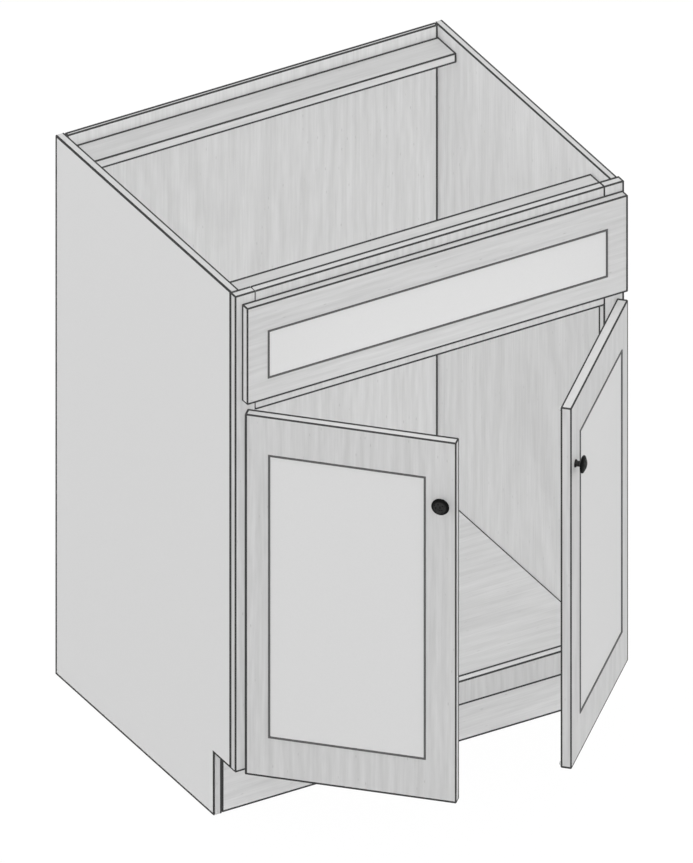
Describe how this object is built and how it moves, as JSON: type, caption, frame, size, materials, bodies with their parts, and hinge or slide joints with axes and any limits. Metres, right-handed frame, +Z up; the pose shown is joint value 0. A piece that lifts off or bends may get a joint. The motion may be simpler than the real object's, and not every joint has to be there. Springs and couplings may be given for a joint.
{
  "type": "sink base cabinet",
  "caption": "Sink base kitchen cabinet with a face frame, open top, false drawer front, toe recess and a pair of framed overlay doors with round knobs.",
  "frame": {"origin": "on the floor, at the middle of the cabinet body's footprint (front of the face frame to the back)", "axes": "+X to the right as seen from the front, +Y towards the wall, +Z up; the doors and false front face -Y"},
  "size_m": [0.6256, 0.7339, 0.8763],
  "materials": {
    "front_wood": "pale grey wood grain, matte",
    "frame_wood": "pale grey wood grain, matte",
    "carcass_board": "pale grey wood grain laminate, matte",
    "plain_panel": "smooth light grey lacquer, matte",
    "black_knob": "black powder coat, satin",
    "nickel_steel": "nickel plated pressed steel",
    "zinc_steel": "bright zinc plated",
    "steel_pin": "ground steel",
    "clear_bumper": "clear soft polyurethane",
    "beech": "raw fluted beech"
  },
  "bodies": {
    "cabinet": {"back_panel": "carcass_board", "back_screws": "zinc_steel", "bottom_rail": "frame_wood", "false_front_bottom_rail": "front_wood", "false_front_left_stile": "front_wood", "false_front_panel": "plain_panel", "false_front_right_stile": "front_wood", "false_front_screws": "zinc_steel", "false_front_top_rail": "front_wood", "floor_panel": "carcass_board", "floor_screws": "zinc_steel", "frame_dowels": "beech", "front_stretcher": "carcass_board", "hinge_arm_screws": "zinc_steel", "left_door_lower_hinge_arm": "nickel_steel", "left_door_upper_hinge_arm": "nickel_steel", "left_finished_skin": "plain_panel", "left_side_panel": "carcass_board", "left_stile": "frame_wood", "middle_rail": "frame_wood", "rear_floor_cleat": "carcass_board", "rear_stretcher": "carcass_board", "right_door_lower_hinge_arm": "nickel_steel", "right_door_upper_hinge_arm": "nickel_steel", "right_side_panel": "carcass_board", "right_stile": "frame_wood", "stretcher_screws": "zinc_steel", "toe_board": "carcass_board", "toe_glue_blocks": "carcass_board", "top_rail": "frame_wood"},
    "left_door": {"left_door_bottom_rail": "front_wood", "left_door_bumpers": "clear_bumper", "left_door_cup_screws": "zinc_steel", "left_door_hinge_stile": "front_wood", "left_door_knob": "black_knob", "left_door_knob_screw": "zinc_steel", "left_door_lock_stile": "front_wood", "left_door_lower_hinge_cup": "nickel_steel", "left_door_lower_hinge_pin": "steel_pin", "left_door_panel": "plain_panel", "left_door_top_rail": "front_wood", "left_door_upper_hinge_cup": "nickel_steel", "left_door_upper_hinge_pin": "steel_pin"},
    "right_door": {"right_door_bottom_rail": "front_wood", "right_door_bumpers": "clear_bumper", "right_door_cup_screws": "zinc_steel", "right_door_hinge_stile": "front_wood", "right_door_knob": "black_knob", "right_door_knob_screw": "zinc_steel", "right_door_lock_stile": "front_wood", "right_door_lower_hinge_cup": "nickel_steel", "right_door_lower_hinge_pin": "steel_pin", "right_door_panel": "plain_panel", "right_door_top_rail": "front_wood", "right_door_upper_hinge_cup": "nickel_steel", "right_door_upper_hinge_pin": "steel_pin"}
  },
  "joints": [
    {"name": "left_door_hinges", "type": "hinge", "parent": "cabinet", "child": "left_door", "pos_m": [-0.29525, -0.26385, 0.3963], "axis": [0, 0, -1], "range_deg": [-45, 50]},
    {"name": "right_door_hinges", "type": "hinge", "parent": "cabinet", "child": "right_door", "pos_m": [0.30225, -0.26385, 0.3963], "axis": [0, 0, 1], "range_deg": [-45, 50]}
  ]
}
